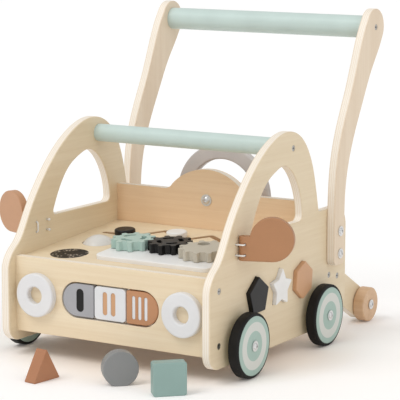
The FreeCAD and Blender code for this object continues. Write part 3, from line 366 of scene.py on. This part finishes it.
def dress_all():
    """Every node that stays in view gets its own finish."""
    for index, side in enumerate(SIDES):
        dress("side_panel_" + side, plywood("side_panel_" + side, PLY_FACE, 1, X_WAY, 1.0 + index))
        dress("handle_arm_" + side, plywood("handle_arm_" + side, ARM_FACE, 2, X_WAY, 3.0 + index))
        dress("tip_strut_" + side, plywood("tip_strut_" + side, PLY_FACE, 1, X_WAY, 5.0 + index))
        dress("tip_roller_" + side, wood("beech_roller_" + side, BEECH, 0, 7.0 + index))
        dress("headlight_ring_" + side, paint("white_lamp_" + side, LAMP_WHITE, edge=0.0012, seed=index))
        dress("mirror_" + side, paint("terracotta_mirror_" + side, MIRROR_TONES_PAINTED_LIGHT[side], 0.5, seed=index))
        for end in ENDS:
            place = end + "_" + side
            hub = "wheel_hub_" + place
            dress(hub, ringed_disc("disc_" + place, middle(hub), WHEEL_RINGS))
            dress("tyre_" + place, rubber("tyre_rubber_" + place))
    dress("front_panel", plywood("front_panel", FRONT_FACE, 0, Y_WAY, 9.0))
    dress("back_panel", plywood("back_panel", BACK_FACE, 0, Y_WAY, 10.0))
    # The deck's cut edges, the track groove among them, get darker tones: painted shade for the groove.
    dress("deck_board", plywood("deck_board", FRONT_FACE, 0, DECK_UP, 11.0, 7, DECK_EDGE_PAINTED_SHADE))
    for node in ("hood_bar", "handle_bar"):
        dress(node, paint("mint_" + node, MINT, 0.4))
    painted = {
        "gear_mint": MINT_GEAR, "gear_black": BLACK, "gear_grey": GREIGE, "gear_plate": WHITE,
        "tile_one": GREY, "tile_two": TILE_WHITE, "tile_three": TILE_TERRACOTTA,
        "tile_one_marks": BLACK, "tile_two_marks": TAN, "tile_three_marks": TILE_WHITE,
        "steering_wheel": GREY_WHEEL, "steering_spacer": GREY_WHEEL,
        "track_knob_black": BLACK, "track_knob_white": WHITE,
        "block_pentagon": BLACK, "block_star": WHITE, "block_hexagon": TAN,
        "block_triangle": DARK_TERRACOTTA, "block_disc": GREY_BLOCK, "block_square": MINT_BLOCK,
    }
    for index, (node, shade) in enumerate(painted.items()):
        dress(node, paint("paint_" + node, shade, seed=0.3 * index))
    for node in ("axle_bolts", "arm_bolts", "lock_nuts", "steering_bolt", "axle_spacers", "tile_rod",
                 "gear_posts"):
        dress(node, metal("zinc_" + node, ZINC))
    for node in ("wood_screws", "strut_screws"):
        dress(node, metal("steel_" + node, STEEL, 0.36))
    dress("rattle_window", smoked_window("smoked_window"))
    dress("rattle_cup", paint("cup_plastic", BLACK, 0.5))
    dress("ball_cup", paint("ball_cup_plastic", BLACK, 0.5))
    dress("roller_ball", paint("ball_white", BALL_WHITE, 0.3, coat=0.2))


dress_all()


# ---------------------------------------------------------------- elastic of the mirrors
def elastic(side, sign):
    """The cord of a mirror, cut across where its part that stays ends and where its outer loop, meant to
    swing with the mirror, begins.

    At the mirror's limits it still cuts about a millimetre into the tab.
    """
    fixed = Vector((sign * ELASTIC_STAYS_TO, 0, 0))
    swinging = Vector((sign * ELASTIC_SWINGS_FROM, 0, 0))
    cord = NODES["mirror_cord_" + side]
    mesh = cord.data.copy()
    build = bmesh.new()
    build.from_mesh(mesh)
    for cut in (fixed, swinging):
        parts = build.verts[:] + build.edges[:] + build.faces[:]
        bmesh.ops.bisect_plane(build, geom=parts, plane_co=cut, plane_no=X_WAY)
    build.to_mesh(mesh)
    build.free()
    mesh.shade_smooth()
    mesh.materials.clear()
    mesh.materials.append(braided("elastic_" + side))
    piece = bpy.data.objects.new("elastic_" + side, mesh)
    SCENE.collection.objects.link(piece)
    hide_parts("mirror_cord_" + side)
    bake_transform(piece)


for side, sign in (("right", 1), ("left", -1)):
    elastic(side, sign)


# ---------------------------------------------------------------- floor, light and camera
def floor():
    """Pale floor, a little warm near the walker from painted bounce light, and browner close under it
    from painted shade.
    """
    mesh = bpy.data.meshes.new("floor")
    half = FLOOR_HALF
    corners = [(-half, -half, 0), (half, -half, 0), (half, half, 0), (-half, half, 0)]
    mesh.from_pydata(corners, [], [(0, 1, 2, 3)])
    plane = bpy.data.objects.new("floor", mesh)
    SCENE.collection.objects.link(plane)
    graph = Graph("floor_white")
    distance = graph.vector("LENGTH", graph.place(), None)
    # Painted light: a warm bounce tint on the floor near the walker.
    near = graph.ramp(distance, [(0.3, 1.0), (0.8, 0.0)])
    # Painted shade: a browner tint on the floor close under the body.
    under = graph.ramp(distance, [(0.12, 1.0), (0.26, 0.0)])
    tint = graph.mix(near, FLOOR_FAR, FLOOR_NEAR_PAINTED_BOUNCE)
    graph.finish(graph.mix(under, tint, FLOOR_UNDER_PAINTED_SHADE), 0.7, specular=0.1)
    graph.shader.inputs["Emission Color"].default_value = (1, 1, 1, 1)
    graph.shader.inputs["Emission Strength"].default_value = 0.05
    mesh.materials.append(graph.material)


def sun(name, azimuth, elevation, strength, softness):
    """Soft sun that shines from an azimuth, counted like the camera's, and an elevation."""
    lamp = bpy.data.lights.new(name, "SUN")
    lamp.energy = strength
    lamp.angle = math.radians(softness)
    holder = bpy.data.objects.new(name, lamp)
    turn, rise = math.radians(azimuth), math.radians(elevation)
    source = Vector((math.sin(turn) * math.cos(rise), -math.cos(turn) * math.cos(rise), math.sin(rise)))
    holder.rotation_euler = source.to_track_quat("Z", "Y").to_euler()
    SCENE.collection.objects.link(holder)


def world(strength):
    """Even, slightly warm light from all around."""
    sky = bpy.data.worlds.new("studio")
    sky.use_nodes = True
    background = sky.node_tree.nodes["Background"]
    background.inputs["Color"].default_value = (1.0, 0.995, 0.985, 1)
    background.inputs["Strength"].default_value = strength
    SCENE.world = sky


def camera():
    """Long lens from the front right, a little above the walker."""
    lens = bpy.data.cameras.new("camera")
    lens.lens = CAMERA_LENS
    lens.sensor_width = CAMERA_SENSOR
    lens.clip_end = 100.0
    holder = bpy.data.objects.new("camera", lens)
    aim = Euler((math.pi / 2 - CAMERA_ELEVATION, 0, CAMERA_AZIMUTH)).to_matrix()
    turn = aim @ Matrix.Rotation(CAMERA_ROLL, 3, "Z")
    holder.matrix_world = Matrix.Translation(CAMERA_PLACE) @ turn.to_4x4()
    SCENE.collection.objects.link(holder)
    SCENE.camera = holder


floor()
world(0.66)
sun("key", azimuth=-25, elevation=52, strength=1.0, softness=30)
sun("fill", azimuth=75, elevation=40, strength=0.4, softness=60)
camera()
SCENE.view_settings.view_transform = "Standard"
